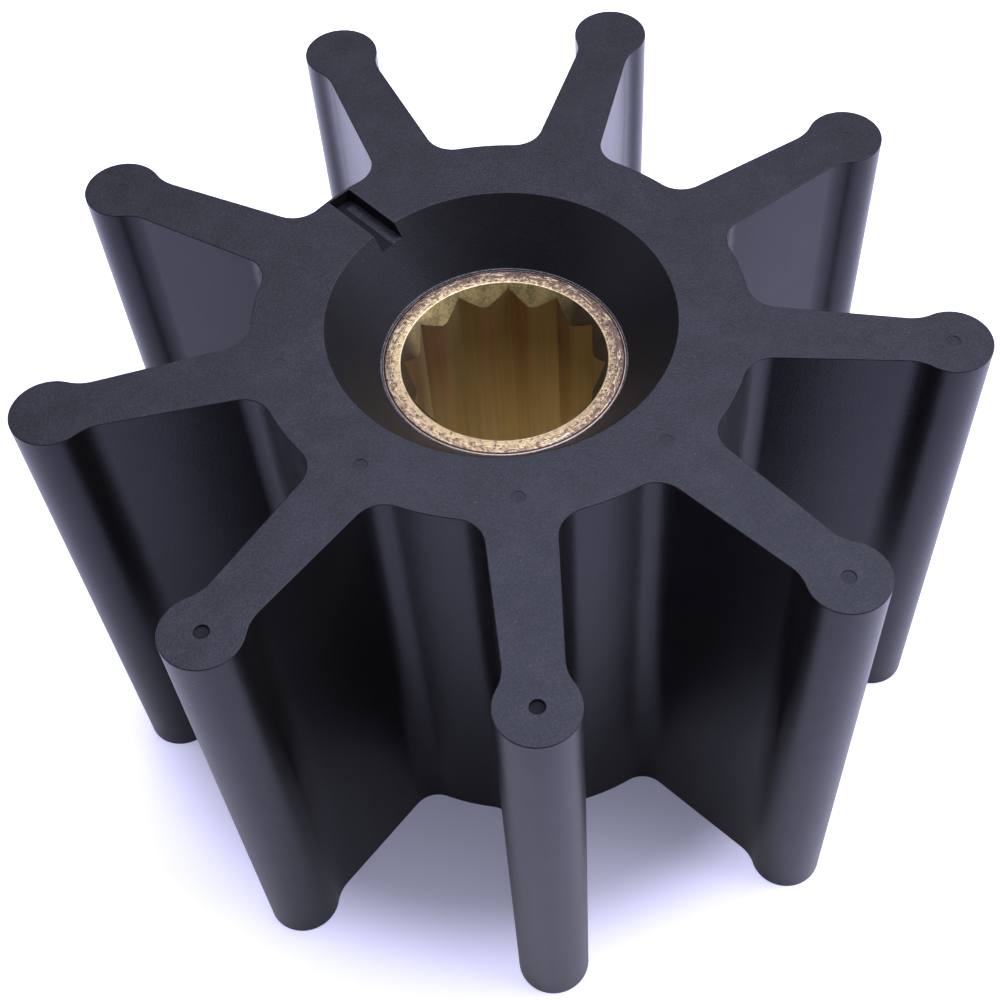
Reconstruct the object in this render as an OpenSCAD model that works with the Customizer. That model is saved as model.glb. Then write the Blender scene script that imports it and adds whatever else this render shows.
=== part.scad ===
// Flexible-vane impeller for a raw-water pump: a rubber moulding bonded to a splined brass bush.
// Millimetres. The shaft axis is Z, the lower end face lies on Z = 0, and vane 0 points along -Y.

/* [Overall] */
// Diameter over the vane tips
impeller_d = 82.5; // [76:0.5:92]
// Width between the two end faces
impeller_w = 50.8; // [38:0.1:64]
// Number of vanes
vane_count = 9; // [6:1:10]

/* [Vanes] */
// Diameter of the round bead along each vane tip
bead_d = 6.8; // [6:0.1:8]
// Thickness of the vane where it meets its bead
vane_tip_t = 4.5; // [3.5:0.1:5.4]
// Thickness of the vane where it meets the hub
vane_root_t = 5.9; // [4.8:0.1:7]
// Radius of the hollow between vane and bead
bead_fillet_r = 3.7; // [2:0.1:5]
// Radius of the fillet between vane and hub
root_fillet_r = 2.6; // [1:0.1:3.6]

/* [Hub] */
// Diameter of the hub between the vanes
hub_d = 42.4; // [39:0.2:46]
// Mouth diameter of the conical recess round the bush
recess_d = 29.9; // [26:0.1:33]
// Width of the flat rubber land that meets the end of the bush
land_w = 0.4; // [0.2:0.1:1]
// Width of the notch across the upper hub face
notch_w = 2.3; // [1:0.1:4]
// Depth of the notch
notch_depth = 1.2; // [0.5:0.1:2]
// Thickness of the rubber that closes the outer end of the notch
notch_wall = 0.3; // [0.2:0.1:2]

/* [Mould marks] */
// Diameter of the round pin marks
mark_d = 1.3; // [0.8:0.1:2]
// Depth of the pin marks
mark_depth = 0.3; // [0.1:0.05:0.6]
// Diameter of the circle of pin marks on the hub face
mark_circle_d = 38; // [36:0.5:39]

/* [Bush] */
// Outside diameter of the bush
bush_d = 21.3; // [20.4:0.1:23]
// Depth of the bush's upper end below the upper face
bush_upper_inset = 5.2; // [2:0.1:8]
// Depth of the bush's lower end above the lower face
bush_lower_inset = 1; // [0.5:0.1:5]
// Chamfer round each outer edge of the bush
bush_chamfer = 0.3; // [0.1:0.05:0.6]

/* [Spline] */
// Number of spline grooves
spline_count = 12; // [8:1:16]
// Diameter at the bottom of the spline grooves
spline_major_d = 17.6; // [17:0.1:18]
// Diameter across the spline teeth
spline_minor_d = 16; // [15:0.1:16.4]
// Width of the flat crest on each spline tooth
spline_crest_w = 0.5; // [0.2:0.1:1]
// Diameter of the countersink at each end face of the bush
countersink_d = 18.1; // [18.05:0.05:19]
// Included angle of the countersinks
countersink_angle = 60; // [45:5:90]
// Angle between vane 0 and the nearest spline groove
spline_turn = -6; // [-15:0.5:15]

/* [Hidden] */

rubber_colour = [0.20, 0.20, 0.24];
brass_colour = [0.71, 0.56, 0.33];

// Cuts run past the faces that they open by this much
overrun = 1;
// Webs run this far into the rounds that they join
lap = 0.4;
// Fillet cuts go this far past tangency, so that their edges cross and never just graze
bite = 0.001;
// Facets of a full circle
circle_facets = 144;

vane_pitch = 360 / vane_count;
first_vane = -90;
notch_pitches = 5.5;

tip_r = impeller_d / 2;
hub_r = hub_d / 2;
bead_r = bead_d / 2;
bush_r = bush_d / 2;
bead_x = tip_r - bead_r;
blank_w = impeller_w + 2 * overrun;

// The flank of a vane that lies along +X is the line y = flank_y0 + flank_slope * x
flank_slope = (vane_tip_t - vane_root_t) / 2 / (bead_x - hub_r);
flank_y0 = vane_root_t / 2 - flank_slope * hub_r;
flank_stretch = sqrt(1 + flank_slope * flank_slope);
flank_normal = [-flank_slope, 1] / flank_stretch;

// Fillets: each centre lies one fillet radius off the flank and off the round that it blends into
root_centre = fillet_centre(0, hub_r, root_fillet_r, 1);
bead_centre = fillet_centre(bead_x, bead_r, bead_fillet_r, -1);

bush_bottom = bush_lower_inset;
bush_top = impeller_w - bush_upper_inset;
bush_length = bush_top - bush_bottom;
countersink_slope = 1 / tan(countersink_angle / 2);
crest_half_angle = asin(spline_crest_w / spline_minor_d);

// Centre of a fillet between the flank and the round of radius round_r at [round_x, 0].
// side is 1 for the crossing further out along the vane and -1 for the one further in.
function fillet_centre(round_x, round_r, fillet_r, side) =
    let (
        lift = flank_y0 + fillet_r * flank_stretch,
        reach = round_r + fillet_r,
        a = 1 + flank_slope * flank_slope,
        b = flank_slope * lift - round_x,
        c = round_x * round_x + lift * lift - reach * reach,
        x = (-b + side * sqrt(b * b - a * c)) / a
    )
    [x, lift + flank_slope * x];

// Where a fillet touches the flank
function flank_touch(centre, fillet_r) = centre - fillet_r * flank_normal;

// Where a fillet touches the round that it blends into
function round_touch(centre, fillet_r, round_x, round_r) =
    centre + ([round_x, 0] - centre) * fillet_r / (fillet_r + round_r);

// The point on the line from a to b that lies a lap beyond b
function lapped(a, b) = b + lap * (b - a) / norm(b - a);

function mirrored(p) = [p[0], -p[1]];

function polar(r, angle) = r * [cos(angle), sin(angle)];

// Section of the web of a vane along +X, from inside the hub to inside the bead
module web_section() {
    root_flank = flank_touch(root_centre, root_fillet_r);
    bead_flank = flank_touch(bead_centre, bead_fillet_r);
    upper = [
        lapped(root_flank, round_touch(root_centre, root_fillet_r, 0, hub_r)),
        root_flank,
        bead_flank,
        lapped(bead_flank, round_touch(bead_centre, bead_fillet_r, bead_x, bead_r))
    ];
    lower = [for (i = [len(upper) - 1:-1:0]) mirrored(upper[i])];
    difference() {
        polygon(concat(upper, lower));
        for (side = [0, 1]) mirror([0, side]) {
            translate(root_centre) circle(root_fillet_r + bite, $fn = circle_facets);
            translate(bead_centre) circle(bead_fillet_r + bite, $fn = circle_facets);
        }
    }
}

// One vane along +X, with its web and the round bead along its tip, longer than it ends up
module vane() {
    translate([0, 0, -overrun]) {
        linear_extrude(blank_w) web_section();
        translate([bead_x, 0, 0]) cylinder(h = blank_w, r = bead_r, $fn = circle_facets);
    }
}

// The moulding before its hole, recess, notch and marks; the end faces trim hub and vanes level
module blank() {
    intersection() {
        union() {
            translate([0, 0, -overrun]) cylinder(h = blank_w, r = hub_r, $fn = circle_facets);
            for (i = [0:vane_count - 1]) rotate(first_vane + i * vane_pitch) vane();
        }
        translate([-impeller_d, -impeller_d, 0])
            cube([2 * impeller_d, 2 * impeller_d, impeller_w]);
    }
}

// Cone from the recess mouth down to the rubber land, with the land level with the end of the bush
module recess() {
    land_r = bush_r + land_w;
    slope = (recess_d / 2 - land_r) / bush_upper_inset;
    translate([0, 0, bush_top])
        cylinder(
            h = bush_upper_inset + overrun,
            r1 = land_r,
            r2 = recess_d / 2 + slope * overrun,
            $fn = circle_facets
        );
}

// Notch from the recess to just short of the hub's rim, midway between two vanes
module notch() {
    rotate(first_vane + notch_pitches * vane_pitch)
        translate([bush_r, -notch_w / 2, impeller_w - notch_depth])
            cube([hub_r - notch_wall - bush_r, notch_w, notch_depth + overrun]);
}

// Shallow round marks of the mould pins on every bead and on the hub face behind every vane
module pin_marks() {
    for (i = [0:vane_count - 1])
        rotate(first_vane + i * vane_pitch)
            for (r = [mark_circle_d / 2, bead_x])
                translate([r, 0, impeller_w - mark_depth])
                    cylinder(h = mark_depth + overrun, d = mark_d, $fn = circle_facets / 4);
}

module rubber_body() {
    color(rubber_colour)
        difference() {
            blank();
            translate([0, 0, -overrun])
                cylinder(h = blank_w, r = bush_r, $fn = circle_facets);
            recess();
            notch();
            pin_marks();
        }
}

// Section of the broached hole: V grooves between narrow crests
module spline_section() {
    pitch = 360 / spline_count;
    minor_r = spline_minor_d / 2;
    polygon([
        for (i = [0:spline_count - 1])
            for (p = [
                polar(spline_major_d / 2, i * pitch),
                polar(minor_r, (i + 0.5) * pitch - crest_half_angle),
                polar(minor_r, (i + 0.5) * pitch + crest_half_angle)
            ]) p
    ]);
}

// Cone that opens the end of the bush; its wide end is at the origin and it narrows along +Z
module countersink() {
    depth = countersink_d / 2 * countersink_slope;
    past = overrun / countersink_slope;
    translate([0, 0, -overrun])
        cylinder(h = depth + overrun, r1 = countersink_d / 2 + past, r2 = 0, $fn = circle_facets);
}

module splined_bush() {
    edge_r = bush_r - bush_chamfer;
    color(brass_colour)
        translate([0, 0, bush_bottom])
            difference() {
                rotate_extrude($fn = circle_facets)
                    polygon([
                        [0, 0],
                        [edge_r, 0],
                        [bush_r, bush_chamfer],
                        [bush_r, bush_length - bush_chamfer],
                        [edge_r, bush_length],
                        [0, bush_length]
                    ]);
                translate([0, 0, -overrun])
                    linear_extrude(bush_length + 2 * overrun)
                        rotate(first_vane + spline_turn) spline_section();
                countersink();
                translate([0, 0, bush_length]) mirror([0, 0, 1]) countersink();
            }
}

rubber_body();
splined_bush();
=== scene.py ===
"""Looks of a flexible-vane pump impeller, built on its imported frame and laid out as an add-on."""

import math
from functools import partial

import bmesh
import bpy
from bpy.props import FloatProperty, FloatVectorProperty, IntProperty, PointerProperty
from mathutils import Matrix, Vector


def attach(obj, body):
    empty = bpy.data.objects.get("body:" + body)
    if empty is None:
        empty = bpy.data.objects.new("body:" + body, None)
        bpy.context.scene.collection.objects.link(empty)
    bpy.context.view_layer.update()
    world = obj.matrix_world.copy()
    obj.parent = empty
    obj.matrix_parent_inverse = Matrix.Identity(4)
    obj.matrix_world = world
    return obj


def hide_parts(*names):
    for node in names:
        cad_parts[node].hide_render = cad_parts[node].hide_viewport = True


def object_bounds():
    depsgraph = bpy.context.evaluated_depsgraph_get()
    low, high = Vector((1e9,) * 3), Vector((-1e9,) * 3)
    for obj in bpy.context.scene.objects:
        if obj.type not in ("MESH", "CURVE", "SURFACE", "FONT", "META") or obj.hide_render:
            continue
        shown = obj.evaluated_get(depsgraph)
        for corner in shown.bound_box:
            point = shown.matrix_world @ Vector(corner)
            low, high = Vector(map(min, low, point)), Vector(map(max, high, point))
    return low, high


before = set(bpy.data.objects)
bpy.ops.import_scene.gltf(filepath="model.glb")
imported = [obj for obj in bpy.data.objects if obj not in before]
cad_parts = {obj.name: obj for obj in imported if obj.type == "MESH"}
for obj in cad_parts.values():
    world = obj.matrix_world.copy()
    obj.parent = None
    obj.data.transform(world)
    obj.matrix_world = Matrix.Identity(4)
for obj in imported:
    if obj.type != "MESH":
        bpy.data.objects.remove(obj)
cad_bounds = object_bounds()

bl_info = {
    "name": "Flexible Vane Impeller",
    "version": (1, 0, 0),
    "blender": (4, 5, 0),
    "location": "3D View > Sidebar > Impeller",
    "description": "Moulded rubber impeller with a splined brass bush, on a studio floor",
    "category": "Add Mesh",
}

MM = 0.001
UP = Vector((0, 0, 1))
ORIGIN = Vector((0, 0, 0))
# Vertices this near to each other are merged, and points this near to a face count as on it
MERGE = 1e-7
NEAR = 1e-6
# Edges that turn by more than this are rounded, on the moulding and on the bush
MOULDED_CORNER = math.radians(50)
CUT_CORNER = math.radians(22)
# Facets of the arcs in the section of half a vane, and of one flank of a spline groove
HUB_STEPS, ROOT_STEPS, NECK_STEPS, BEAD_STEPS, MARK_STEPS, BORE_STEPS = 5, 10, 9, 26, 12, 8
FLANK_STEPS = 8
# Place of the notch, in vane pitches from the first vane
NOTCH_PITCHES = 5.5
# Face attribute for the pin prints and the painted shade, and its strength in the notch
PRINT_AND_SHADE = "pin_print"
NOTCH_SHADE_STRENGTH = 0.9
# Radius of the edges of a pin print, as a share of its depth
PRINT_ROUND = 0.35
# How deep the pin prints on the beads and on the hub sink, vane by vane, and how strongly
# they are painted dark as shade
BEAD_PRINTS = (0.85, 0.3, 0.22, 0.12, 0.1, 0.1, 0.1, 0.1, 0.7)
HUB_PRINTS = (0.2, 0.15, 0.1, 0.1, 0.1, 0.1, 0.1, 0.1, 0.2)
# Material slots of the bush
BORE, COUNTERSINK, TURNED = 0, 1, 2


def srgb(text):
    """Linear RGBA of an sRGB hex colour."""
    channels = [int(text[i : i + 2], 16) / 255 for i in (0, 2, 4)]
    return (
        *(c / 12.92 if c <= 0.04045 else ((c + 0.055) / 1.055) ** 2.4 for c in channels),
        1.0,
    )


def length(name, description, millimetres, low=0.0, high=200.0):
    """A size that shows in the sidebar in the scene's own unit."""
    return FloatProperty(
        name=name,
        description=description,
        default=millimetres * MM,
        min=low * MM,
        max=high * MM,
        subtype="DISTANCE",
        unit="LENGTH",
        precision=4,
    )


def colour(name, description, text):
    """A colour that shows in the sidebar."""
    return FloatVectorProperty(
        name=name,
        description=description,
        default=srgb(text),
        size=4,
        min=0.0,
        max=1.0,
        subtype="COLOR",
    )


class MouldingSizes(bpy.types.PropertyGroup):
    """Sizes of the rubber moulding."""

    width: length("Width", "Distance between the two end faces", cad_bounds[1].z / MM)
    tip_radius: length("Tip radius", "Radius over the vane tips", -cad_bounds[0].y / MM)
    vanes: IntProperty(name="Vanes", description="Number of vanes", default=9, min=6, max=10)
    bead_radius: length("Bead radius", "Radius of the bead along each vane tip", 3.4)
    vane_tip: length("Vane at the tip", "Thickness of a vane where it meets its bead", 4.5)
    vane_root: length("Vane at the root", "Thickness of a vane where it meets the hub", 5.9)
    bead_fillet: length("Bead fillet", "Radius of the hollow between vane and bead", 3.7)
    root_fillet: length("Root fillet", "Radius of the fillet between vane and hub", 2.6)
    hub_radius: length("Hub radius", "Radius of the hub between the vanes", 21.2)
    recess_radius: length("Recess radius", "Radius of the mouth of the recess", 14.95)
    land_radius: length("Land radius", "Outer radius of the rubber land round the bush", 10.82)
    bore_radius: length("Bore radius", "Radius of the hole that holds the bush", 10.65)
    recess_depth: length("Recess depth", "Depth of the recess", 5.2)
    notch_width: length("Notch width", "Width of the notch across the hub", 2.3)
    notch_depth: length("Notch depth", "Depth of the notch across the hub", 1.2)
    notch_wall: length("Notch wall", "Thickness of the wall that closes the notch", 0.3)
    # Widths of the strips of painted shade on the notch floor, along one wall and along its end
    notch_shade_width: length("Notch grime", "Width of the grime along one wall of the notch", 1.25)
    notch_end_shade_width: length("Notch end grime", "Width of the grime along the end of the notch", 0.6)
    mark_radius: length("Mark radius", "Radius of the round pin marks", 0.6)
    mark_depth: length("Mark depth", "Depth of the deepest pin marks", 0.3)
    mark_circle: length("Mark circle", "Radius of the circle of pin marks on the hub", 19.0)
    edge_round: length("Edge round", "Radius of the moulded outer edges", 0.1)
    fine_round: length("Fine round", "Radius of the edges of the notch and the recess", 0.05)


class BushSizes(bpy.types.PropertyGroup):
    """Sizes of the splined bush."""

    top: length("Upper end", "Height of the bush's upper end", 45.6)
    bottom: length("Lower end", "Height of the bush's lower end", 1.0)
    radius: length("Radius", "Outside radius", 10.65)
    chamfer: length("Chamfer", "Width of the worn chamfer round the outer edges", 0.3)
    chamfer_drop: length("Chamfer drop", "Drop of the worn chamfer", 0.08)
    grooves: IntProperty(name="Grooves", description="Number of spline grooves", default=12)
    groove_radius: length("Groove radius", "Radius at the bottom of the grooves", 8.8)
    crest_radius: length("Crest radius", "Radius across the teeth", 8.0)
    crest_width: length("Crest width", "Width of the flat crest on each tooth", 0.5)
    countersink_radius: length("Countersink", "Radius of the mouth of the countersinks", 9.05)
    countersink_angle: FloatProperty(
        name="Countersink angle",
        description="Included angle of the countersinks",
        default=math.radians(60),
        subtype="ANGLE",
    )
    turn: FloatProperty(
        name="Turn",
        description="Angle between the first vane and the nearest groove",
        default=math.radians(-6),
        subtype="ANGLE",
    )
    edge_break: length("Edge break", "Width of the burnished edges", 0.04)


class FinishColours(bpy.types.PropertyGroup):
    """Colours of the materials."""

    rubber: colour("Rubber", "Carbon-black rubber", "13120f")
    rubber_light: colour("Rubber bloom", "Greyer patches and flecks of the rubber skin", "33323a")
    dust: colour("Dust", "Specks of dust on the rubber", "6a6a72")
    # Pale ring on the land round the bush: partly bonding agent, partly a painted highlight
    bonding: colour("Bonding agent", "Ring of bonding agent round the bush", "9a93a4")
    # Colour of the dull pin prints, painted dark as shade, and of the painted shade in the notch
    pin_print: colour("Pin print", "Dull prints of the mould pins", "0c0c0d")
    brass_face: colour("Turned brass", "Clean turned brass", "c4ae84")
    brass_film: colour("Film on brass", "Mauve-grey film on the turned face", "725f56")
    brass_pit: colour("Pits in brass", "Dark pits in the turned face", "3a302c")
    # Brass worn bright on the edges, also the colour of painted highlights on edges and round eaten
    # patches
    brass_rub_and_highlight: colour("Rubbed brass", "Brass rubbed bright along an edge", "e2d2ac")
    # Painted shade: a dark line on the chamfer
    chamfer_shade: colour("Chamfer film", "Dark line of bonding agent on the chamfer", "3a2c38")
    countersink_film: colour("Countersink film", "Olive film on the countersink", "84754e")
    countersink_bare: colour("Countersink brass", "Barer specks of the countersink", "b4a066")
    # Painted shade on the sides of the countersinks
    countersink_shade: colour("Countersink stain", "Brown stain round the countersink", "423520")
    bore_red: colour("Bore, redder", "Redder bands of the film in the bore", "b29070")
    bore_olive: colour("Bore, yellower", "Yellower bands of the film in the bore", "b0a072")
    # Painted light deeper in the bore
    bore_lit_deep: colour("Bore, deep", "Thin film deeper in the bore", "fcecb8")
    floor: colour("Floor", "Studio floor", "ececfb")


# ---------------------------------------------------------------- mesh helpers


def polar(radius, angle):
    """The point at a radius and an angle round the shaft axis."""
    return Vector((radius * math.cos(angle), radius * math.sin(angle), 0))


def swept(start, end):
    """Signed angle from one direction to another, the short way round."""
    return (end - start + math.pi) % (2 * math.pi) - math.pi


def heading(centre, point):
    """Angle at which a point lies from a centre."""
    return math.atan2(point.y - centre.y, point.x - centre.x)


def arc(bm, vert, centre, angle, steps):
    """Draws an arc of edges from a vertex round an upright axis and returns its last vertex."""
    spun = bmesh.ops.spin(
        bm, geom=[vert], cent=centre, axis=UP, dvec=ORIGIN, angle=angle, steps=steps
    )
    return only(bmesh.types.BMVert, spun["geom_last"])[0]


def line(bm, vert, point):
    """Draws an edge from a vertex to a point and returns its far vertex."""
    far = bmesh.ops.extrude_vert_indiv(bm, verts=[vert])["verts"][0]
    far.co = point
    return far


def loop_near(bm, test):
    """The boundary edges whose both ends pass the test."""
    return [e for e in bm.edges if e.is_boundary and all(test(v.co) for v in e.verts)]


def only(kind, geom):
    """The vertices, edges or faces among what an operator made."""
    return [g for g in geom if isinstance(g, kind)]


def cut_faces(bm, faces, point, normal):
    """Splits faces where a plane crosses them."""
    geom = {g for f in faces for g in (f, *f.edges, *f.verts)}
    bmesh.ops.bisect_plane(bm, geom=list(geom), dist=MERGE, plane_co=point, plane_no=normal)


def spin_copies(bm, count):
    """Repeats all geometry round the shaft axis, to a number of equal shares of a full turn."""
    bmesh.ops.spin(
        bm,
        geom=bm.verts[:] + bm.edges[:] + bm.faces[:],
        cent=ORIGIN,
        axis=UP,
        dvec=ORIGIN,
        angle=2 * math.pi * (count - 1) / count,
        steps=count - 1,
        use_duplicate=True,
    )
    bmesh.ops.remove_doubles(bm, verts=bm.verts, dist=MERGE)


def finish_piece(context, bm, name, materials, node):
    """Turns a bmesh into a piece that stands for a node, with smooth faces and true edges."""
    mesh = bpy.data.meshes.new(name)
    bm.to_mesh(mesh)
    bm.free()
    for face in mesh.polygons:
        face.use_smooth = True
    for material in materials:
        mesh.materials.append(material)
    piece = bpy.data.objects.new(name, mesh)
    context.scene.collection.objects.link(piece)
    shading = piece.modifiers.new("Face-weighted normals", "WEIGHTED_NORMAL")
    shading.mode = "FACE_AREA"
    shading.weight = 100
    shading.keep_sharp = True
    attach(piece, "root")
    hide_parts(node)
    return piece


# ---------------------------------------------------------------- rubber moulding


def fillet_centre(sizes, round_x, round_r, fillet_r, side):
    """Centre of a fillet between a vane's flank and a round whose centre is on the vane's axis."""
    slope, height, stretch = flank(sizes)
    lift = height + fillet_r * stretch
    reach = round_r + fillet_r
    a = 1 + slope * slope
    b = slope * lift - round_x
    c = round_x * round_x + lift * lift - reach * reach
    x = (-b + side * math.sqrt(b * b - a * c)) / a
    return Vector((x, lift + slope * x, 0))


def flank(sizes):
    """Slope, height at the shaft axis and stretch of the line of a vane's flank."""
    bead_x = sizes.tip_radius - sizes.bead_radius
    slope = (sizes.vane_tip - sizes.vane_root) / 2 / (bead_x - sizes.hub_radius)
    height = sizes.vane_root / 2 - slope * sizes.hub_radius
    return slope, height, math.sqrt(1 + slope * slope)


def half_sector(bm, sizes, inner_radius, marks):
    """Face over half a vane and its share of the hub, with half-round bites for pin marks."""
    slope, _, stretch = flank(sizes)
    normal = Vector((-slope, 1, 0)) / stretch
    half_pitch = math.pi / sizes.vanes
    bead = Vector((sizes.tip_radius - sizes.bead_radius, 0, 0))
    root = fillet_centre(sizes, 0, sizes.hub_radius, sizes.root_fillet, 1)
    neck = fillet_centre(sizes, bead.x, sizes.bead_radius, sizes.bead_fillet, -1)
    root_flank = root - sizes.root_fillet * normal
    neck_flank = neck - sizes.bead_fillet * normal
    on_hub = heading(ORIGIN, root)
    on_bead = heading(bead, neck)

    first = bmesh.ops.create_vert(bm, co=polar(sizes.hub_radius, half_pitch))["vert"][0]
    v = arc(bm, first, ORIGIN, on_hub - half_pitch, HUB_STEPS)
    v = arc(bm, v, root, swept(heading(root, v.co), heading(root, root_flank)), ROOT_STEPS)
    v = line(bm, v, neck_flank)
    v = arc(bm, v, neck, swept(heading(neck, v.co), on_bead + math.pi), NECK_STEPS)
    v = arc(bm, v, bead, -on_bead, BEAD_STEPS)
    for mark in marks:
        v = line(bm, v, Vector((mark + sizes.mark_radius, 0, 0)))
        v = arc(bm, v, Vector((mark, 0, 0)), math.pi, MARK_STEPS)
    v = line(bm, v, Vector((inner_radius, 0, 0)))
    v = arc(bm, v, ORIGIN, half_pitch, BORE_STEPS)
    bm.edges.new((v, first))
    bmesh.ops.contextual_create(bm, geom=bm.edges[:])


def add_end_face(bm, sizes, inner_radius, marks, height):
    """Adds one whole end face of the moulding."""
    face = bmesh.new()
    half_sector(face, sizes, inner_radius, marks)
    whole = face.verts[:] + face.edges[:] + face.faces[:]
    bmesh.ops.mirror(face, geom=whole, axis="Y", merge_dist=MERGE)
    spin_copies(face, sizes.vanes)
    bmesh.ops.translate(face, verts=face.verts, vec=UP * height)
    mesh = bpy.data.meshes.new("end face")
    face.to_mesh(mesh)
    face.free()
    bm.from_mesh(mesh)
    bpy.data.meshes.remove(mesh)


def notch_axes(sizes):
    """Directions along the notch, away from the shaft, and across it."""
    angle = NOTCH_PITCHES * 2 * math.pi / sizes.vanes
    return polar(1, angle), polar(1, angle + math.pi / 2)


def cut_notch(bm, sizes):
    """Cuts the notch from the recess to just short of the hub's rim, midway between two vanes."""
    along, across = notch_axes(sizes)
    half = sizes.notch_width / 2
    floor = sizes.width - sizes.notch_depth
    end = sizes.hub_radius - sizes.notch_wall

    def beside_mouth(face):
        return any(
            abs(v.co.dot(across)) < sizes.notch_width
            and sizes.bore_radius < v.co.dot(along) < sizes.recess_radius + MM
            for v in face.verts
        )

    def in_strip(face):
        return beside_mouth(face) and abs(face.calc_center_median().dot(across)) < half

    cuts = [
        (beside_mouth, across * half, across),
        (beside_mouth, -across * half, across),
        (in_strip, along * end, along),
        (in_strip, UP * floor, UP),
    ]
    for test, point, normal in cuts:
        cut_faces(bm, [f for f in bm.faces if test(f)], point, normal)

    def inside(face):
        c = face.calc_center_median()
        return in_strip(face) and c.dot(along) < end and c.z > floor

    bmesh.ops.delete(bm, geom=[f for f in bm.faces if inside(f)], context="FACES")

    def on_wall(co, side):
        return abs(co.dot(across) - side * half) < NEAR

    floor_edges = loop_near(bm, lambda co: abs(co.z - floor) < NEAR)
    end_edges = loop_near(bm, lambda co: abs(co.dot(along) - end) < NEAR)
    corners = []
    for side in (-1, 1):
        wall_edges = loop_near(bm, lambda co: on_wall(co, side))
        upper = next(v for e in end_edges for v in e.verts if on_wall(v.co, side))
        inner = next(v for e in floor_edges for v in e.verts if on_wall(v.co, side))
        corner = line(bm, upper, along * end + across * side * half + UP * floor)
        upright = corner.link_edges[0]
        sill = bm.edges.new((inner, corner))
        bmesh.ops.contextual_create(bm, geom=[*wall_edges, upright, sill])
        floor_edges.append(sill)
        end_edges.append(upright)
        corners.append(corner)
    foot = bm.edges.new(corners)
    bmesh.ops.contextual_create(bm, geom=[*end_edges, foot])
    bmesh.ops.contextual_create(bm, geom=[*floor_edges, foot])
    # Splits the notch floor where the strips of painted shade along one wall and its end stop
    for point, normal in (
        (across * (half - sizes.notch_shade_width), across),
        (along * (end - sizes.notch_end_shade_width), along),
    ):
        ground = [f for f in bm.faces if in_strip(f) and f.calc_center_median().z < floor + MERGE]
        cut_faces(bm, ground, point, normal)


def bevel_edges(bm, edges, radius, segments):
    """Rounds edges, with no change of material."""
    bmesh.ops.bevel(
        bm,
        geom=edges,
        offset=radius,
        offset_type="OFFSET",
        segments=segments,
        profile=0.5,
        affect="EDGES",
        clamp_overlap=True,
        material=-1,
    )


def round_edges(bm, radius, segments, sharper_than, test=None):
    """Rounds the edges that turn by more than an angle and, where there is a test, pass it."""
    edges = [
        e
        for e in bm.edges
        if e.is_manifold
        and e.calc_face_angle() > sharper_than
        and (test is None or all(test(v.co) for v in e.verts))
    ]
    bevel_edges(bm, edges, radius, segments)


def print_pin(bm, sizes, centre, strength):
    """Sinks a mould pin's print into the upper end face and marks it dull, with painted shade."""
    layer = bm.faces.layers.float.get(PRINT_AND_SHADE) or bm.faces.layers.float.new(PRINT_AND_SHADE)
    depth = sizes.mark_depth * strength
    middle = centre + UP * sizes.width
    rim = loop_near(bm, lambda co: (co - middle).length < sizes.mark_radius * 1.01)
    ring = bmesh.ops.extrude_edge_only(bm, edges=rim)["geom"]
    foot = [e for e in only(bmesh.types.BMEdge, ring) if e.is_boundary]
    bmesh.ops.translate(bm, verts=only(bmesh.types.BMVert, ring), vec=UP * -depth)
    bmesh.ops.contextual_create(bm, geom=foot)
    bmesh.ops.recalc_face_normals(bm, faces=bm.faces)
    bevel_edges(bm, [*rim, *foot], depth * PRINT_ROUND, 2)
    for face in bm.faces:
        if (face.calc_center_median() - middle).length < sizes.mark_radius:
            face[layer] = strength


def paint_notch_shade(bm, sizes):
    """Marks the notch's walls, and floor strips along one wall and its end, dull with painted
    shade.
    """
    layer = bm.faces.layers.float[PRINT_AND_SHADE]
    along, across = notch_axes(sizes)
    for face in bm.faces:
        c = face.calc_center_median()
        in_reach = (
            abs(c.dot(across)) < sizes.notch_width / 2 + sizes.fine_round
            and sizes.bore_radius < c.dot(along) < sizes.hub_radius - sizes.notch_wall * 0.4
            and sizes.width - sizes.notch_depth * 1.1 < c.z
        )
        # Walls, and floor strips along one wall and along the end, take the painted shade
        in_shade = (
            face.normal.z < 0.9
            or c.dot(across) > sizes.notch_width / 2 - sizes.notch_shade_width
            or c.dot(along) > sizes.hub_radius - sizes.notch_wall - sizes.notch_end_shade_width
        )
        in_depth = c.z < sizes.width - MERGE and abs(face.normal.dot(along)) < 0.9
        if in_reach and in_shade and in_depth:
            face[layer] = NOTCH_SHADE_STRENGTH


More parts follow.
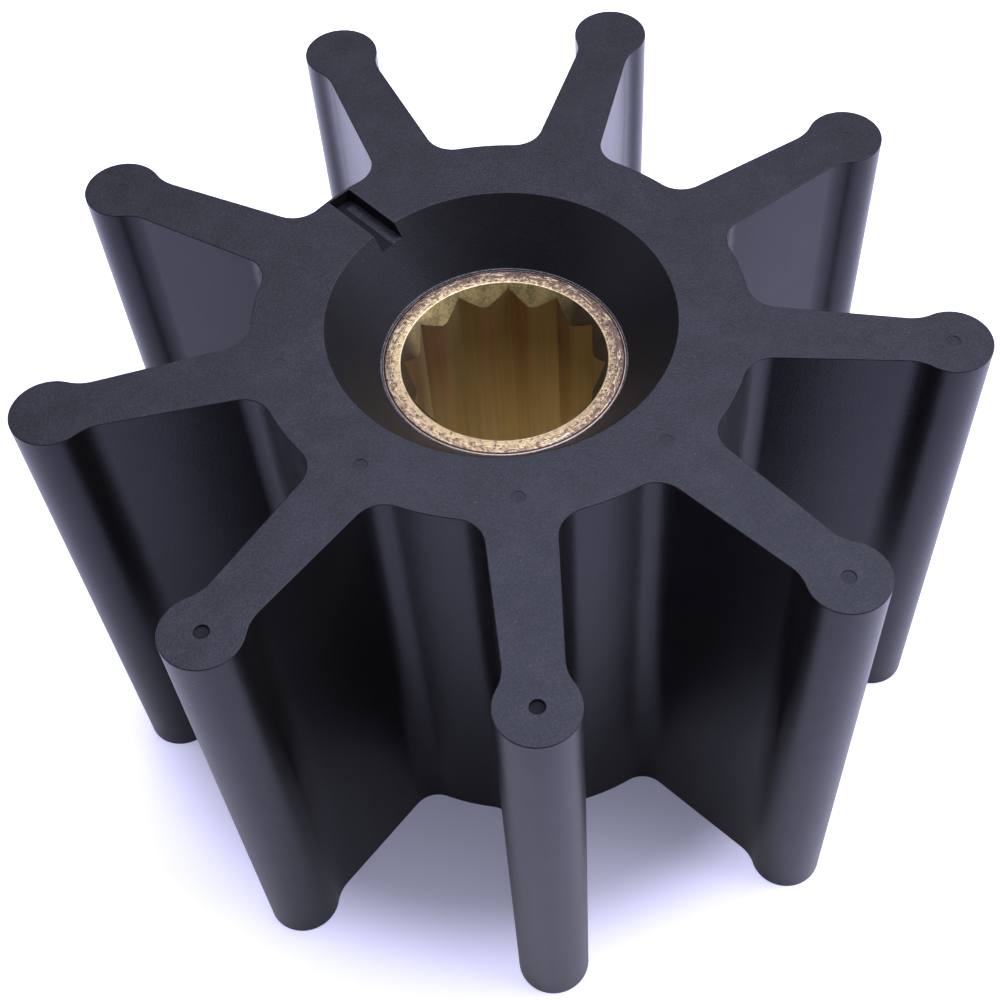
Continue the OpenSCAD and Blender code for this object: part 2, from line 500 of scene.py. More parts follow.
class IMPELLER_OT_moulding(bpy.types.Operator):
    """Build the moulded rubber hub with its vanes, recess, notch and pin marks"""

    bl_idname = "impeller.moulding"
    bl_label = "Moulded Rubber Body"

    def execute(self, context):
        sizes = context.scene.impeller_moulding
        bead_x = sizes.tip_radius - sizes.bead_radius

        def outer_edge(co):
            """True on the outline of an end face."""
            return co.xy.length > sizes.hub_radius - NEAR

        pitch = 2 * math.pi / sizes.vanes
        bm = bmesh.new()
        add_end_face(bm, sizes, sizes.recess_radius, (bead_x, sizes.mark_circle), sizes.width)
        add_end_face(bm, sizes, sizes.bore_radius, (), 0)
        for mark, prints in ((bead_x, BEAD_PRINTS), (sizes.mark_circle, HUB_PRINTS)):
            for i in range(sizes.vanes):
                print_pin(bm, sizes, polar(mark, i * pitch), prints[i % len(prints)])
        rim = sizes.hub_radius - MM
        bmesh.ops.bridge_loops(bm, edges=loop_near(bm, lambda co: co.xy.length > rim))

        mouth = loop_near(bm, lambda co: abs(co.xy.length - sizes.recess_radius) < NEAR)
        recess_floor = UP * (sizes.width - sizes.recess_depth)
        for radius in (sizes.land_radius, sizes.bore_radius):
            ring = bmesh.ops.extrude_edge_only(bm, edges=mouth)["geom"]
            mouth = only(bmesh.types.BMEdge, ring)
            for v in only(bmesh.types.BMVert, ring):
                v.co = v.co.xy.normalized().to_3d() * radius + recess_floor
        bore = loop_near(bm, lambda co: abs(co.xy.length - sizes.bore_radius) < NEAR)
        bmesh.ops.bridge_loops(bm, edges=bore)

        bmesh.ops.recalc_face_normals(bm, faces=bm.faces)
        round_edges(bm, sizes.edge_round, 4, MOULDED_CORNER, outer_edge)
        cut_notch(bm, sizes)
        bmesh.ops.recalc_face_normals(bm, faces=bm.faces)
        round_edges(bm, sizes.fine_round, 2, MOULDED_CORNER)
        paint_notch_shade(bm, sizes)
        bmesh.ops.rotate(bm, verts=bm.verts, matrix=Matrix.Rotation(-math.pi / 2, 3, "Z"))
        finish_piece(
            context, bm, "moulded_body", [moulded_rubber(context)], "rubber_body"
        )
        return {"FINISHED"}


def spline_outline(bm, sizes):
    """Closed loop of edges round the broached hole, with V grooves between narrow crests."""
    pitch = 2 * math.pi / sizes.grooves
    crest_half = math.asin(sizes.crest_width / 2 / sizes.crest_radius)
    groove = polar(sizes.groove_radius, 0)
    crest_edge = polar(sizes.crest_radius, pitch / 2 - crest_half)
    crest_middle = crest_edge.lerp(polar(sizes.crest_radius, pitch / 2 + crest_half), 0.5)
    v = bmesh.ops.create_vert(bm, co=groove)["vert"][0]
    for step in range(1, FLANK_STEPS + 1):
        v = line(bm, v, groove.lerp(crest_edge, step / FLANK_STEPS))
    line(bm, v, crest_middle)
    bmesh.ops.mirror(bm, geom=bm.verts[:] + bm.edges[:], axis="Y", merge_dist=MERGE)
    spin_copies(bm, sizes.grooves)


class IMPELLER_OT_bush(bpy.types.Operator):
    """Build the turned brass bush with its broached spline and countersinks"""

    bl_idname = "impeller.bush"
    bl_label = "Splined Brass Bush"

    def execute(self, context):
        sizes = context.scene.impeller_bush
        steepness = 1 / math.tan(sizes.countersink_angle / 2)
        inner = sizes.radius - sizes.chamfer
        bm = bmesh.new()
        spline_outline(bm, sizes)
        rim = bm.edges[:]
        for v in bm.verts:
            v.co.z = sizes.bottom + (sizes.countersink_radius - v.co.length) * steepness
        # From the lower zig-zag edge up the bore, out over the top and down the outside. The first
        # ring has no radius: it keeps the spline's outline and rises to the upper countersink.
        rings = [
            (None, None, BORE),
            (sizes.countersink_radius, sizes.top, COUNTERSINK),
            (inner, sizes.top, TURNED),
            (sizes.radius, sizes.top - sizes.chamfer_drop, TURNED),
            (sizes.radius, sizes.bottom + sizes.chamfer_drop, TURNED),
            (inner, sizes.bottom, TURNED),
            (sizes.countersink_radius, sizes.bottom, TURNED),
        ]
        first = rim
        for radius, height, surface in rings:
            ring = bmesh.ops.extrude_edge_only(bm, edges=rim)["geom"]
            rim = only(bmesh.types.BMEdge, ring)
            for v in only(bmesh.types.BMVert, ring):
                flat = v.co.xy
                if radius is None:
                    v.co.z = sizes.top - (sizes.countersink_radius - flat.length) * steepness
                else:
                    v.co = flat.normalized().to_3d() * radius + UP * height
            for face in only(bmesh.types.BMFace, ring):
                face.material_index = surface
        for face in bmesh.ops.bridge_loops(bm, edges=first + rim)["faces"]:
            face.material_index = COUNTERSINK
        bmesh.ops.recalc_face_normals(bm, faces=bm.faces)
        round_edges(bm, sizes.edge_break, 2, CUT_CORNER)
        turn = Matrix.Rotation(sizes.turn - math.pi / 2, 3, "Z")
        bmesh.ops.rotate(bm, verts=bm.verts, matrix=turn)
        finish_piece(
            context,
            bm,
            "brass_bush",
            [broached_brass(context), countersunk_brass(context), turned_brass(context)],
            "splined_bush",
        )
        return {"FINISHED"}


# ---------------------------------------------------------------- materials

# Real sizes of the patterns, in millimetres
MOULD_GRAIN = 0.18  # blasted grain of the mould's end plates, drawn a little coarse to show
GRAIN_RELIEF = 0.028  # height of that grain
BLOOM_PATCH = 2.6  # soft patches of bloom on the rubber
SKIN_WAVE = 7.0  # slow unevenness of the moulded skin
WAVE_RELIEF = 0.06  # height of that unevenness
DRAW_STREAK = 1.2  # width of the streaks that the mould left as the vanes were drawn out
DUST_SPACING = 2.2  # distance between specks of dust
FILM_MOTTLE = 0.4  # mottling of the film on the turned end face
PIT_SIZE = 0.22  # dark pits in the end face
EATEN_LENGTH = 1.8  # patches eaten along the rim of the end face
EATEN_WIDTH = 0.34  # the same patches, across
TURNED_RELIEF = 0.04  # height of the film and of the turning marks
TOOL_RING = 0.16  # feed of the turning tool
BROACH_STREAK = 0.45  # width of the streaks that the broach left
BROACHED_RELIEF = 0.012  # height of those streaks
FLANK_TINT = 3.2  # width of the redder and yellower bands in the bore
CUT_SPECKLE = 0.3  # speckle of the countersink
SPECKLE_PATCH = 1.6  # patches in which that speckle is barer
SPECKLE_RELIEF = 0.015  # height of that speckle
# How much the pattern of a streak is squeezed along the shaft axis, which draws it out
STREAK_STRETCH = 0.03


def add_node(tree, kind, settings=(), inputs=()):
    """Adds a node. Settings are its attributes; inputs are values or the outputs that feed them.

    A node given as an input feeds it with its first output that is in use.
    """
    node = tree.nodes.new(kind)
    for name, value in dict(settings).items():
        setattr(node, name, value)
    for name, value in dict(inputs).items():
        if isinstance(value, bpy.types.Node):
            value = next(output for output in value.outputs if output.enabled)
        if isinstance(value, bpy.types.NodeSocket):
            tree.links.new(value, node.inputs[name])
        else:
            node.inputs[name].default_value = value
    return node


def new_material(name):
    """An empty node material, what adds its nodes, its coordinates and its place in millimetres."""
    material = bpy.data.materials.new(name)
    material.use_nodes = True
    tree = material.node_tree
    tree.nodes.clear()
    add = partial(add_node, tree)
    place = add("ShaderNodeTexCoord")
    spot = add(
        "ShaderNodeVectorMath",
        {"operation": "SCALE"},
        {0: place.outputs["Object"], "Scale": 1 / MM},
    )
    return material, add, place, spot


def finish_material(add, shader):
    """Puts a shader on the surface."""
    add("ShaderNodeOutputMaterial", inputs={"Surface": shader})


def moulded_rubber(context):
    """Nitrile rubber full of carbon black, as it came from the compression mould.

    It is almost black in itself, so the eye sees mostly its satin sheen. The end faces carry the
    blasted grain of the mould plates and look a little greyer; the vanes and the hub came off
    smoother steel, with faint streaks along the draw, and the cone of the recess came off duller.
    Bloom greys the skin in soft patches. A pale ring round the bush is partly bonding agent and
    partly a painted highlight on the land. The pin prints are dull and painted dark as shade, and
    so are the walls of the notch and strips of its floor.
    """
    colours = context.scene.impeller_colours
    sizes = context.scene.impeller_moulding
    material, add, place, spot = new_material("moulded nitrile rubber")
    facing = add("ShaderNodeSeparateXYZ", inputs={0: place.outputs["Normal"]})
    level = add("ShaderNodeMath", {"operation": "ABSOLUTE"}, {0: facing.outputs["Z"]})
    end_face = add("ShaderNodeMapRange", inputs={"Value": level, "From Min": 0.9, "From Max": 0.99})

    bloom = add(
        "ShaderNodeTexNoise",
        inputs={"Vector": spot, "Scale": 1 / BLOOM_PATCH, "Detail": 3.0, "Roughness": 0.6},
    )
    grain = add(
        "ShaderNodeTexNoise",
        inputs={"Vector": spot, "Scale": 1 / MOULD_GRAIN, "Detail": 2.0, "Roughness": 0.7},
    )
    wave = add("ShaderNodeTexNoise", inputs={"Vector": spot, "Scale": 1 / SKIN_WAVE, "Detail": 1.0})
    drawn = add("ShaderNodeMapping", inputs={"Vector": spot, "Scale": (1.0, 1.0, STREAK_STRETCH)})
    streak = add(
        "ShaderNodeTexNoise", inputs={"Vector": drawn, "Scale": 1 / DRAW_STREAK, "Detail": 2.0}
    )
    dust = add("ShaderNodeTexVoronoi", inputs={"Vector": spot, "Scale": 1 / DUST_SPACING})

    patch = add(
        "ShaderNodeMapRange",
        inputs={"Value": bloom, "From Min": 0.42, "From Max": 0.66, "To Max": 0.22},
    )
    fleck = add(
        "ShaderNodeMapRange",
        inputs={"Value": grain, "From Min": 0.42, "From Max": 0.66, "To Max": 0.55},
    )
    marked = add("ShaderNodeMath", {"operation": "ADD"}, {0: patch, 1: fleck})
    on_end = add("ShaderNodeMapRange", inputs={"Value": end_face, "To Min": 0.2, "To Max": 1.0})
    greyed = add("ShaderNodeMath", {"operation": "MULTIPLY"}, {0: marked, 1: on_end})
    speck = add(
        "ShaderNodeMapRange",
        inputs={"Value": dust, "From Min": 0.045, "From Max": 0.025, "To Max": 0.3},
    )
    level_spot = add(
        "ShaderNodeVectorMath", {"operation": "MULTIPLY"}, {0: spot, 1: (1.0, 1.0, 0.0)}
    )
    radius = add("ShaderNodeVectorMath", {"operation": "LENGTH"}, {0: level_spot})
    # A pale patchy ring on the land round the bush, partly bonding agent and partly a painted
    # highlight
    land_ring = add(
        "ShaderNodeMapRange",
        inputs={
            "Value": radius,
            "From Min": sizes.land_radius / MM,
            "From Max": sizes.land_radius / MM - 0.1,
            "To Max": 0.9,
        },
    )
    land_ring_patches = add("ShaderNodeMath", {"operation": "MULTIPLY"}, {0: land_ring, 1: greyed})
    # Pin prints, and walls and floor strips of the notch: dull, with painted shade
    pin_print = add("ShaderNodeAttribute", {"attribute_name": PRINT_AND_SHADE}).outputs["Fac"]
    skin = colours.rubber
    for share, coat in (
        (greyed, colours.rubber_light),
        (speck, colours.dust),
        (land_ring_patches, colours.bonding),
        (pin_print, colours.pin_print),
    ):
        coated = {0: share, 6: skin, 7: coat}
        skin = add("ShaderNodeMix", {"data_type": "RGBA"}, coated)

    cone = add(
        "ShaderNodeMapRange",
        inputs={"Value": level, "From Min": 0.3, "From Max": 0.5, "To Min": 0.262, "To Max": 0.44},
    )
    plate = add("ShaderNodeMapRange", inputs={"Value": end_face, "To Min": cone, "To Max": 0.37})
    uneven = add("ShaderNodeMath", {"operation": "MULTIPLY_ADD"}, {0: streak, 1: 0.06, 2: plate})
    roughness = add(
        "ShaderNodeMapRange", inputs={"Value": pin_print, "To Min": uneven, "To Max": 0.95}
    )

    swell = add("ShaderNodeBump", inputs={"Height": wave, "Distance": WAVE_RELIEF * MM})
    rough = add("ShaderNodeMapRange", inputs={"Value": end_face, "To Min": 0.7, "To Max": 1.0})
    bump = add(
        "ShaderNodeBump",
        inputs={"Height": grain, "Strength": rough, "Distance": GRAIN_RELIEF * MM, "Normal": swell},
    )
    shader = add(
        "ShaderNodeBsdfPrincipled",
        inputs={
            "Base Color": skin,
            "Roughness": roughness,
            "IOR": 1.4,
            "Specular Tint": srgb("e3e8ff"),
            "Normal": bump,
        },
    )
    finish_material(add, shader)
    return material


def turned_brass(context):
    """Brass turned on a lathe, its end faces stained and eaten in the moulding press.

    A mauve-grey film dulls the ring, least along its inner edge and towards the front left.
    Long shallow patches were eaten dark along the rim, each with a painted highlight round it.
    The chamfer is painted dark as shade. Its outer edge, and the inner edge by the countersink, are
    worn bright, with painted highlights.
    """
    colours = context.scene.impeller_colours
    sizes = context.scene.impeller_bush
    mouth = sizes.countersink_radius / MM
    rim = sizes.radius / MM
    inner = (sizes.radius - sizes.chamfer) / MM
    material, add, _, spot = new_material("turned brass")
    level_spot = add(
        "ShaderNodeVectorMath", {"operation": "MULTIPLY"}, {0: spot, 1: (1.0, 1.0, 0.0)}
    )
    radius = add("ShaderNodeVectorMath", {"operation": "LENGTH"}, {0: level_spot})
    outward = add("ShaderNodeVectorMath", {"operation": "NORMALIZE"}, {0: level_spot})
    across = add("ShaderNodeMath", {"operation": "DIVIDE"}, {0: radius, 1: EATEN_WIDTH})
    lift = add("ShaderNodeCombineXYZ", inputs={"Z": across})
    wrapped = add(
        "ShaderNodeVectorMath",
        {"operation": "MULTIPLY_ADD"},
        {0: outward, 1: (rim / EATEN_LENGTH,) * 3, 2: lift},
    )
    mottle = add(
        "ShaderNodeTexNoise",
        inputs={"Vector": spot, "Scale": 1 / FILM_MOTTLE, "Detail": 4.0, "Roughness": 0.7},
    )
    eaten = add(
        "ShaderNodeTexNoise",
        inputs={"Vector": wrapped, "Scale": 1.0, "Detail": 2.0, "Distortion": 0.4},
    )
    pits = add("ShaderNodeTexNoise", inputs={"Vector": spot, "Scale": 1 / PIT_SIZE, "Detail": 0.0})

    ragged = add("ShaderNodeMath", {"operation": "MULTIPLY_ADD"}, {0: eaten, 1: 0.8, 2: radius})
    outer = add(
        "ShaderNodeMapRange",
        inputs={"Value": ragged, "From Min": mouth + 0.9, "From Max": mouth + 1.2, "To Max": 0.13},
    )
    # The film is thinner towards the front left
    side = add(
        "ShaderNodeVectorMath", {"operation": "DOT_PRODUCT"}, {0: outward, 1: (-0.7, -0.71, 0.0)}
    )
    front_left_thinning = add(
        "ShaderNodeMapRange",
        inputs={"Value": side, "From Min": -1.0, "To Min": 0.045, "To Max": -0.1},
    )
    thicker = add("ShaderNodeMath", {"operation": "ADD"}, {0: outer, 1: front_left_thinning})
    uneven = add("ShaderNodeMath", {"operation": "ADD"}, {0: mottle, 1: thicker})
    film = add("ShaderNodeMapRange", inputs={"Value": uneven, "From Min": 0.4, "From Max": 0.62})
    rimward = add(
        "ShaderNodeMapRange",
        inputs={
            "Value": radius,
            "From Min": mouth + 0.5,
            "From Max": mouth + 0.8,
            "To Min": -0.2,
            "To Max": 0.0,
        },
    )
    eating = add("ShaderNodeMath", {"operation": "ADD"}, {0: eaten, 1: rimward})
    # Painted highlight round each eaten patch
    patch_highlight = add(
        "ShaderNodeMapRange",
        inputs={"Value": eating, "From Min": 0.55, "From Max": 0.6, "To Max": 0.75},
    )
    hollow = add(
        "ShaderNodeMapRange",
        inputs={"Value": eating, "From Min": 0.62, "From Max": 0.66, "To Max": 0.85},
    )
    pitted = add(
        "ShaderNodeMapRange",
        inputs={"Value": pits, "From Min": 0.7, "From Max": 0.74, "To Max": 0.85},
    )
    darkest = add("ShaderNodeMath", {"operation": "MAXIMUM"}, {0: hollow, 1: pitted})
    # Inner edge by the countersink: worn bright, with a painted highlight
    rubbed_and_highlit = add(
        "ShaderNodeMapRange",
        inputs={"Value": radius, "From Min": mouth + 0.16, "From Max": mouth + 0.06, "To Max": 0.6},
    )
    # The chamfer is painted dark as shade
    in_chamfer = add(
        "ShaderNodeMapRange", inputs={"Value": radius, "From Min": inner, "From Max": inner + 0.04}
    )
    # Outer edge: worn bright in patches, with a painted highlight
    at_edge = add(
        "ShaderNodeMapRange",
        inputs={"Value": radius, "From Min": rim - 0.15, "From Max": rim - 0.1},
    )
    worn_and_highlit_edge = add("ShaderNodeMath", {"operation": "MULTIPLY"}, {0: at_edge, 1: mottle})
    metal = colours.brass_face
    for share, coat in (
        (film, colours.brass_film),
        (patch_highlight, colours.brass_rub_and_highlight),
        (darkest, colours.brass_pit),
        (rubbed_and_highlit, colours.brass_rub_and_highlight),
        (in_chamfer, colours.chamfer_shade),
        (worn_and_highlit_edge, colours.brass_rub_and_highlight),
    ):
        coated = {0: share, 6: metal, 7: coat}
        metal = add("ShaderNodeMix", {"data_type": "RGBA"}, coated)
    roughness = add("ShaderNodeMapRange", inputs={"Value": film, "To Min": 0.36, "To Max": 0.55})
    turns = add(
        "ShaderNodeMath", {"operation": "MULTIPLY"}, {0: radius, 1: 2 * math.pi / TOOL_RING}
    )
    rings = add("ShaderNodeMath", {"operation": "SINE"}, {0: turns})
    worn = add("ShaderNodeMath", {"operation": "MULTIPLY_ADD"}, {0: rings, 1: 0.12, 2: mottle})
    bump = add("ShaderNodeBump", inputs={"Height": worn, "Distance": TURNED_RELIEF * MM})
    shader = add(
        "ShaderNodeBsdfPrincipled",
        inputs={"Base Color": metal, "Metallic": 1.0, "Roughness": roughness, "Normal": bump},
    )
    finish_material(add, shader)
    return material


def countersunk_brass(context):
    """Countersink cut into the bush, with an olive film that leaves yellow-green specks bare.

    The sides that lie nearer the first vane are painted brown and dark, as shade.
    """
    colours = context.scene.impeller_colours
    material, add, _, spot = new_material("countersunk brass")
    speckle = add(
        "ShaderNodeTexNoise",
        inputs={"Vector": spot, "Scale": 1 / CUT_SPECKLE, "Detail": 2.0, "Roughness": 0.6},
    )
    patch = add(
        "ShaderNodeTexNoise", inputs={"Vector": spot, "Scale": 1 / SPECKLE_PATCH, "Detail": 1.0}
    )
    both = add("ShaderNodeMath", {"operation": "ADD"}, {0: speckle, 1: patch})
    bare = add("ShaderNodeMapRange", inputs={"Value": both, "From Min": 0.85, "From Max": 1.2})
    filmed = add(
        "ShaderNodeMix",
        {"data_type": "RGBA"},
        {0: bare, 6: colours.countersink_film, 7: colours.countersink_bare},
    )
    level_spot = add(
        "ShaderNodeVectorMath", {"operation": "MULTIPLY"}, {0: spot, 1: (1.0, 1.0, 0.0)}
    )
    outward = add("ShaderNodeVectorMath", {"operation": "NORMALIZE"}, {0: level_spot})
    # Painted shade: the sides away from the back are darkened brown
    toward_back = add(
        "ShaderNodeVectorMath", {"operation": "DOT_PRODUCT"}, {0: outward, 1: (-0.2, 0.98, 0.0)}
    )
    side_shade = add(
        "ShaderNodeMapRange", inputs={"Value": toward_back, "From Min": 0.78, "From Max": 0.45}
    )
    metal = add(
        "ShaderNodeMix", {"data_type": "RGBA"}, {0: side_shade, 6: filmed, 7: colours.countersink_shade}
    )
    roughness = add("ShaderNodeMapRange", inputs={"Value": bare, "To Min": 0.55, "To Max": 0.42})
    bump = add("ShaderNodeBump", inputs={"Height": speckle, "Distance": SPECKLE_RELIEF * MM})
    shader = add(
        "ShaderNodeBsdfPrincipled",
        inputs={"Base Color": metal, "Metallic": 0.3, "Roughness": roughness, "Normal": bump},
    )
    finish_material(add, shader)
    return material


def broached_brass(context):
    """Spline flanks left by the broach, under an old brown film.

    Fine streaks run along the shaft axis, and redder and yellower bands alternate round the bore.
    Flanks that face one way round are painted redder and darker, those that face the other way
    yellower and lighter, as painted reflections.
    Below the mouth the colour is painted paler and yellower with depth, as painted light.
    """
    colours = context.scene.impeller_colours
    sizes = context.scene.impeller_bush
    top = sizes.top / MM
    material, add, place, spot = new_material("broached brass")
    pulled = add("ShaderNodeMapping", inputs={"Vector": spot, "Scale": (1.0, 1.0, STREAK_STRETCH)})
    streak = add(
        "ShaderNodeTexNoise",
        inputs={"Vector": pulled, "Scale": 1 / BROACH_STREAK, "Detail": 3.0, "Roughness": 0.6},
    )
    band = add(
        "ShaderNodeTexNoise", inputs={"Vector": pulled, "Scale": 1 / FLANK_TINT, "Detail": 1.0}
    )
    height = add("ShaderNodeSeparateXYZ", inputs={0: spot}).outputs["Z"]
    # Painted light: the colour turns paler and yellower deeper below the mouth
    depth = add(
        "ShaderNodeMapRange", inputs={"Value": height, "From Min": top - 6, "From Max": top - 20}
    )
    outward = add("ShaderNodeVectorMath", {"operation": "MULTIPLY"}, {0: spot, 1: (1.0, 1.0, 0.0)})
    turned = add(
        "ShaderNodeVectorMath",
        {"operation": "CROSS_PRODUCT"},
        {0: place.outputs["Normal"], 1: outward},
    )
    flank_side = add("ShaderNodeSeparateXYZ", inputs={0: turned}).outputs["Z"]
    # Painted reflection: flanks that face one way round are tinted yellower, the others redder
    band_and_reflection = add(
        "ShaderNodeMath", {"operation": "MULTIPLY_ADD"}, {0: flank_side, 1: 0.03, 2: band}
    )
    tint = add("ShaderNodeMapRange", inputs={"Value": band_and_reflection, "From Min": 0.4, "From Max": 0.6})
    film = add(
        "ShaderNodeMix",
        {"data_type": "RGBA"},
        {0: tint, 6: colours.bore_red, 7: colours.bore_olive},
    )
    deeper = add("ShaderNodeMix", {"data_type": "RGBA"}, {0: depth, 6: film, 7: colours.bore_lit_deep})
    shade = add(
        "ShaderNodeMapRange",
        inputs={"Value": streak, "From Min": 0.3, "From Max": 0.7, "To Min": 0.84, "To Max": 1.06},
    )
    # Painted reflection: the same flanks are made lighter, the others darker
    lit = add("ShaderNodeMath", {"operation": "MULTIPLY_ADD"}, {0: flank_side, 1: 0.025, 2: shade})
    metal = add("ShaderNodeVectorMath", {"operation": "SCALE"}, {0: deeper, "Scale": lit})
    roughness = add("ShaderNodeMapRange", inputs={"Value": streak, "To Min": 0.38, "To Max": 0.54})
    bump = add("ShaderNodeBump", inputs={"Height": streak, "Distance": BROACHED_RELIEF * MM})
    shader = add(
        "ShaderNodeBsdfPrincipled",
        inputs={"Base Color": metal, "Metallic": 0.8, "Roughness": roughness, "Normal": bump},
    )
    finish_material(add, shader)
    return material


# ---------------------------------------------------------------- stage

LAMP_TINT = srgb("ececff")
LAMP_DISTANCE = 0.8
FLOOR_HALF = 3.0  # half the side of the floor

# The camera looks at the centre of the upper end, nearly in line with the front vane, and is then
# panned, tilted and rolled
CAMERA_DISTANCE = 0.139825
CAMERA_ELEVATION = math.radians(46.931)
CAMERA_TURN = math.radians(-0.788)
CAMERA_ROLL = math.radians(-3.8313)
CAMERA_PAN = math.radians(-2.0129)
CAMERA_TILT = math.radians(-10.6988)
CAMERA_LENS = 58.579
CAMERA_SENSOR = 36.0
CAMERA_SHIFT = (-0.08, 0.12)


class IMPELLER_OT_stage(bpy.types.Operator):
    """Set the floor, the soft lights and the camera"""

    bl_idname = "impeller.stage"
    bl_label = "Studio Stage"

    def execute(self, context):
        scene = context.scene
        scene.view_settings.view_transform = "Standard"
        bm = bmesh.new()
        bmesh.ops.create_grid(bm, x_segments=4, y_segments=4, size=FLOOR_HALF)
        mesh = bpy.data.meshes.new("floor")
        bm.to_mesh(mesh)
        bm.free()
        mesh.materials.append(studio_floor(context))
        floor = bpy.data.objects.new("floor", mesh)
        scene.collection.objects.link(floor)
        scene.world = studio_world()
        add_softbox(context, "side softbox", azimuth=90, elevation=45, size=0.6, radiance=4.7)
        add_softbox(context, "overhead softbox", azimuth=22, elevation=74, size=0.7, radiance=4.05)
        add_softbox(context, "fill card", azimuth=-90, elevation=18, size=0.5, radiance=0.8)
        set_camera(context)
        return {"FINISHED"}


def studio_floor(context):
    """Matt seamless paper: pale lavender in the shade of the impeller, white to the eye around it.

    The whiteness is a glow that only the camera and reflections see, so it lights nothing. It is
    weak under the impeller and rises round it, which paints the edge of the impeller's shadow on
    the floor. Reflections see less of it in front than behind, and see it neutral close to the
    impeller.
    """
    colours = context.scene.impeller_colours
    material, add, _, spot = new_material("matt seamless paper")
    away = add("ShaderNodeVectorMath", {"operation": "LENGTH"}, {0: spot})
    axes = add("ShaderNodeSeparateXYZ", inputs={0: spot})
    skewed = add(
        "ShaderNodeMath", {"operation": "MULTIPLY_ADD"}, {0: axes.outputs["X"], 1: 0.1, 2: away}
    )
    # Painted shadow: the glow stays weak close to the impeller, and its edge is skewed to one side
    near = add(
        "ShaderNodeMapRange",
        {"interpolation_type": "SMOOTHSTEP"},
        {"Value": skewed, "From Min": 30.0, "From Max": 40.0, "To Min": 0.15, "To Max": 0.78},
    )
    far = add(
        "ShaderNodeMapRange",
        inputs={"Value": away, "From Min": 40.0, "From Max": 110.0, "To Max": 0.6},
    )
    lift = add("ShaderNodeMath", {"operation": "ADD"}, {0: near, 1: far})
    mirrored = add(
        "ShaderNodeMapRange",
        inputs={
            "Value": axes.outputs["Y"],
            "From Min": 10.0,
            "From Max": 110.0,
            "To Min": 0.2,
            "To Max": 0.9,
        },
    )
    path = add("ShaderNodeLightPath")
    share = add(
        "ShaderNodeMath", {"operation": "MULTIPLY"}, {0: path.outputs["Is Glossy Ray"], 1: mirrored}
    )
    seen = add(
        "ShaderNodeMath", {"operation": "MAXIMUM"}, {0: path.outputs["Is Camera Ray"], 1: share}
    )
    strength = add("ShaderNodeMath", {"operation": "MULTIPLY"}, {0: seen, 1: lift})
    outskirts = add(
        "ShaderNodeMapRange", inputs={"Value": away, "From Min": 30.0, "From Max": 60.0}
    )
    tinted = add(
        "ShaderNodeMath", {"operation": "MAXIMUM"}, {0: path.outputs["Is Camera Ray"], 1: outskirts}
    )
    tone = add(
        "ShaderNodeMix", {"data_type": "RGBA"}, {0: tinted, 6: srgb("eeedea"), 7: srgb("d8d8ff")}
    )
    paper = add("ShaderNodeBsdfDiffuse", inputs={"Color": colours.floor})
    glow = add("ShaderNodeEmission", inputs={"Color": tone, "Strength": strength})
    both = add("ShaderNodeAddShader", inputs={0: paper, 1: glow})
    add("ShaderNodeOutputMaterial", inputs={"Surface": both})
    return material


def studio_world():
    """A dim light tent, a little brighter overhead, with a white backdrop behind the impeller."""
    world = bpy.data.worlds.new("light tent")
    world.use_nodes = True
    tree = world.node_tree
    tree.nodes.clear()
    add = partial(add_node, tree)
    way = add("ShaderNodeTexCoord")
    height = add(
        "ShaderNodeVectorMath",
        {"operation": "DOT_PRODUCT"},
        {0: way.outputs["Generated"], 1: (0.0, 0.35, 0.94)},
    )
    glow = add(
        "ShaderNodeMapRange",
        {"interpolation_type": "SMOOTHSTEP"},
        {"Value": height, "From Min": -0.2, "From Max": 1.0, "To Min": 0.07, "To Max": 0.36},
    )
    tent = add("ShaderNodeBackground", inputs={"Color": LAMP_TINT, "Strength": glow})
    white = add("ShaderNodeBackground", inputs={"Color": (1.0, 1.0, 1.0, 1.0)})
    path = add("ShaderNodeLightPath")
    mix = add("ShaderNodeMixShader", inputs={0: path.outputs["Is Camera Ray"], 1: tent, 2: white})
    add("ShaderNodeOutputWorld", inputs={"Surface": mix})
    return world


def add_softbox(context, name, azimuth, elevation, size, radiance):
    """A square lavender-white panel of a given radiance that faces the middle of the impeller."""
    data = bpy.data.lights.new(name, "AREA")
    data.shape = "SQUARE"
    data.size = size
    data.color = LAMP_TINT[:3]
    data.energy = radiance * math.pi * size * size
    lamp = bpy.data.objects.new(name, data)
    az, el = math.radians(azimuth), math.radians(elevation)
    away = Vector((math.sin(az) * math.cos(el), math.cos(az) * math.cos(el), math.sin(el)))
    lamp.location = away * LAMP_DISTANCE + UP * cad_bounds[1].z / 2
    lamp.rotation_mode = "QUATERNION"
    lamp.rotation_quaternion = away.to_track_quat("Z", "Y")
    context.scene.collection.objects.link(lamp)


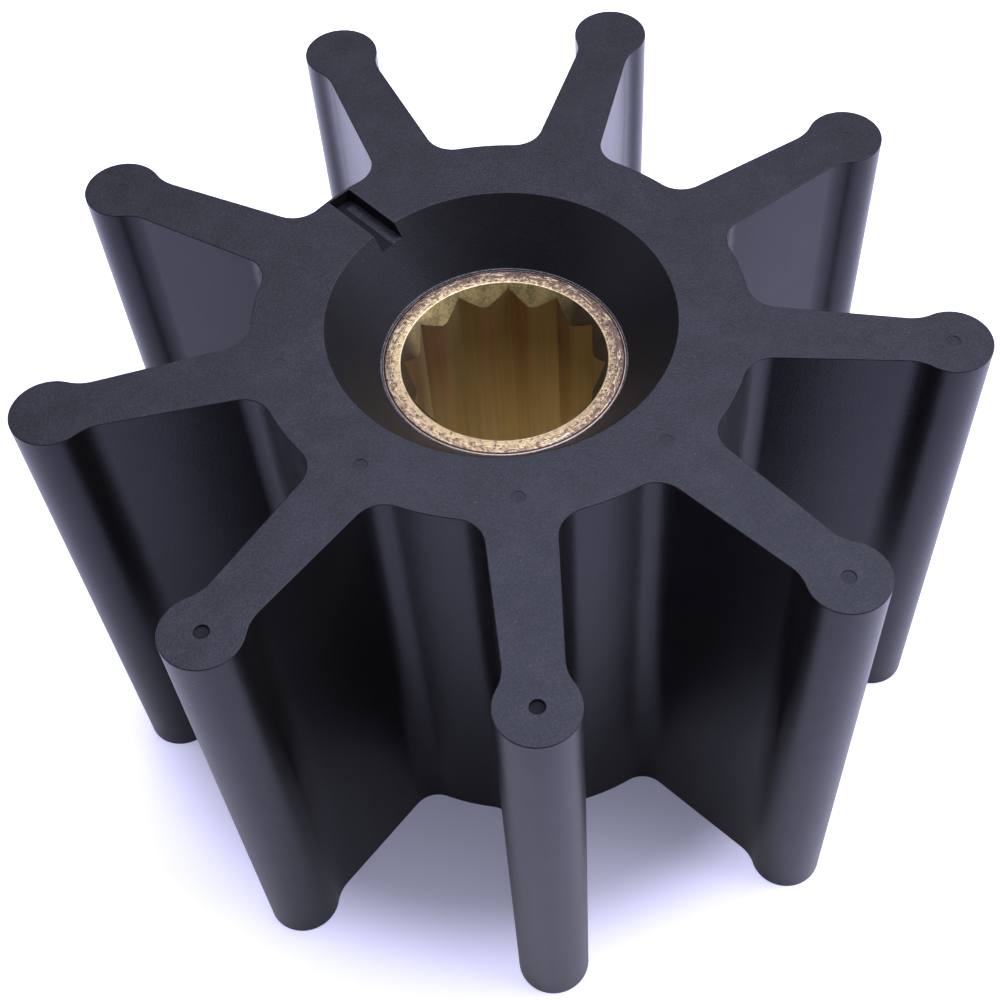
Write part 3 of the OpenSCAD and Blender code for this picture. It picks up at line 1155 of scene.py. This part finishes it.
def set_camera(context):
    """Looks down on the front vane from a hand's breadth, as a close product view does."""
    back = Vector((0, -math.cos(CAMERA_ELEVATION), math.sin(CAMERA_ELEVATION)))
    right = Vector((1, 0, 0))
    place = UP * cad_bounds[1].z + back * CAMERA_DISTANCE
    up = back.cross(right)
    pan = Matrix.Rotation(CAMERA_PAN, 3, up)
    back, right = pan @ back, pan @ right
    tilt = Matrix.Rotation(CAMERA_TILT, 3, right)
    back, up = tilt @ back, tilt @ up
    roll = Matrix.Rotation(CAMERA_ROLL, 3, back)
    axes = Matrix((roll @ right, roll @ up, back)).transposed()
    turn = Matrix.Rotation(CAMERA_TURN, 3, "Z")
    data = bpy.data.cameras.new("camera")
    data.sensor_width = CAMERA_SENSOR
    data.lens = CAMERA_LENS
    data.shift_x, data.shift_y = CAMERA_SHIFT
    data.clip_start = 0.01
    data.clip_end = 20.0
    camera = bpy.data.objects.new("camera", data)
    camera.matrix_world = Matrix.Translation(turn @ place) @ (turn @ axes).to_4x4()
    context.scene.collection.objects.link(camera)
    context.scene.camera = camera


class IMPELLER_PT_panel(bpy.types.Panel):
    """Lists the sizes, the colours and the build buttons"""

    bl_label = "Impeller"
    bl_space_type = "VIEW_3D"
    bl_region_type = "UI"
    bl_category = "Impeller"

    def draw(self, context):
        for group in GROUPS:
            settings = getattr(context.scene, group)
            box = self.layout.box()
            for name in settings.bl_rna.properties.keys():
                if name not in ("rna_type", "name"):
                    box.prop(settings, name)
        for operator in OPERATORS:
            self.layout.operator(operator.bl_idname)


GROUPS = {
    "impeller_moulding": MouldingSizes,
    "impeller_bush": BushSizes,
    "impeller_colours": FinishColours,
}
OPERATORS = (IMPELLER_OT_moulding, IMPELLER_OT_bush, IMPELLER_OT_stage)
CLASSES = (*GROUPS.values(), *OPERATORS, IMPELLER_PT_panel)


def register():
    for cls in CLASSES:
        bpy.utils.register_class(cls)
    for name, group in GROUPS.items():
        setattr(bpy.types.Scene, name, PointerProperty(type=group))


def unregister():
    for name in GROUPS:
        delattr(bpy.types.Scene, name)
    for cls in reversed(CLASSES):
        bpy.utils.unregister_class(cls)


def main():
    register()
    bpy.ops.impeller.moulding()
    bpy.ops.impeller.bush()
    bpy.ops.impeller.stage()


if __name__ == "__main__":
    main()
